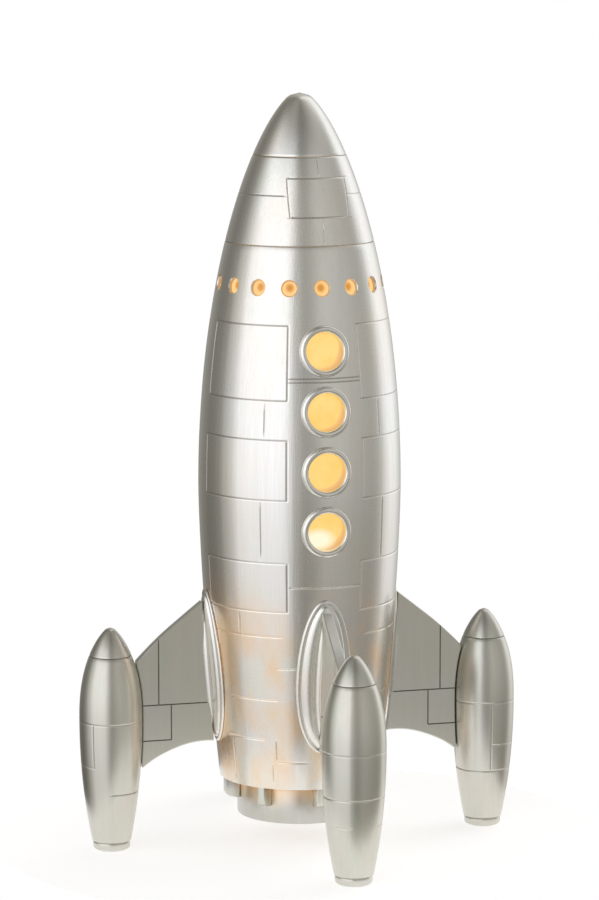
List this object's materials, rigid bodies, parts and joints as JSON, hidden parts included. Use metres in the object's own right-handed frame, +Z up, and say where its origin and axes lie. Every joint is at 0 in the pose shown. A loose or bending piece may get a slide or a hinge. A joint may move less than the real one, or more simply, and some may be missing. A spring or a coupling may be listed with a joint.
{
  "type": "rocket-shaped table lamp",
  "caption": "Silver rocket table lamp with lit portholes, standing on finned pods, with a bulb and holder that come out through the nozzle.",
  "frame": {"origin": "on the table, at the middle of the four pods, under the rocket's axis", "axes": "+Z up to the tip of the nose; the portholes and the front fin face -Y; fins along +X, +Y, -X and -Y"},
  "size_m": [0.3018, 0.3018, 0.5005],
  "materials": {
    "silver_hull": "satin silver, brushed by hand in upright streaks",
    "silver_fins": "satin silver, slightly darker and smoother than the hull",
    "amber_glass": "frosted amber, lit from behind",
    "zinc_steel": "zinc-plated",
    "brass": "plain brass",
    "white_plastic": "moulded, satin",
    "opal_glass": "opal white, lit",
    "rubber": "matt black",
    "felt": "pressed grey felt"
  },
  "bodies": {
    "rocket": {"hull_shell": "silver_hull", "nose_section": "silver_hull", "nose_cap": "silver_hull", "nozzle_ring": "silver_hull", "nozzle_rib_1": "silver_hull", "nozzle_rib_2": "silver_hull", "nozzle_rib_3": "silver_hull", "nozzle_rib_4": "silver_hull", "nozzle_rib_5": "silver_hull", "nozzle_rib_6": "silver_hull", "nozzle_rib_7": "silver_hull", "nozzle_rib_8": "silver_hull", "porthole_bezel_1": "silver_hull", "porthole_bezel_2": "silver_hull", "porthole_bezel_3": "silver_hull", "porthole_bezel_4": "silver_hull", "fin_right": "silver_fins", "fin_root_right": "silver_fins", "pod_shell_right": "silver_fins", "pod_nose_right": "silver_fins", "pod_foot_right": "silver_fins", "foot_pad_right": "felt", "fin_rear": "silver_fins", "fin_root_rear": "silver_fins", "pod_shell_rear": "silver_fins", "pod_nose_rear": "silver_fins", "pod_foot_rear": "silver_fins", "foot_pad_rear": "felt", "fin_left": "silver_fins", "fin_root_left": "silver_fins", "pod_shell_left": "silver_fins", "pod_nose_left": "silver_fins", "pod_foot_left": "silver_fins", "foot_pad_left": "felt", "fin_front": "silver_fins", "fin_root_front": "silver_fins", "pod_shell_front": "silver_fins", "pod_nose_front": "silver_fins", "pod_foot_front": "silver_fins", "foot_pad_front": "felt", "window_band": "amber_glass", "porthole_lens_1": "amber_glass", "porthole_lens_2": "amber_glass", "porthole_lens_3": "amber_glass", "porthole_lens_4": "amber_glass", "cord_grommet": "rubber"},
    "light_unit": {"lamp_bracket": "zinc_steel", "bracket_screw_1": "zinc_steel", "bracket_screw_2": "zinc_steel", "lamp_stem": "zinc_steel", "lock_nut_lower": "brass", "lock_nut_upper": "brass", "holder_base": "white_plastic", "holder_sleeve": "white_plastic", "holder_screw_shell": "brass"},
    "bulb": {"bulb_cap": "brass", "bulb_glass": "opal_glass"}
  },
  "joints": [
    {"name": "light_unit_slide", "type": "slide", "parent": "rocket", "child": "light_unit", "axis": [0, 0, -1], "range_m": [0, 0.2]},
    {"name": "bulb_turn", "type": "hinge", "parent": "light_unit", "child": "bulb", "pos_m": [0, 0, 0.148], "axis": [0, 0, 1], "continuous": true}
  ]
}
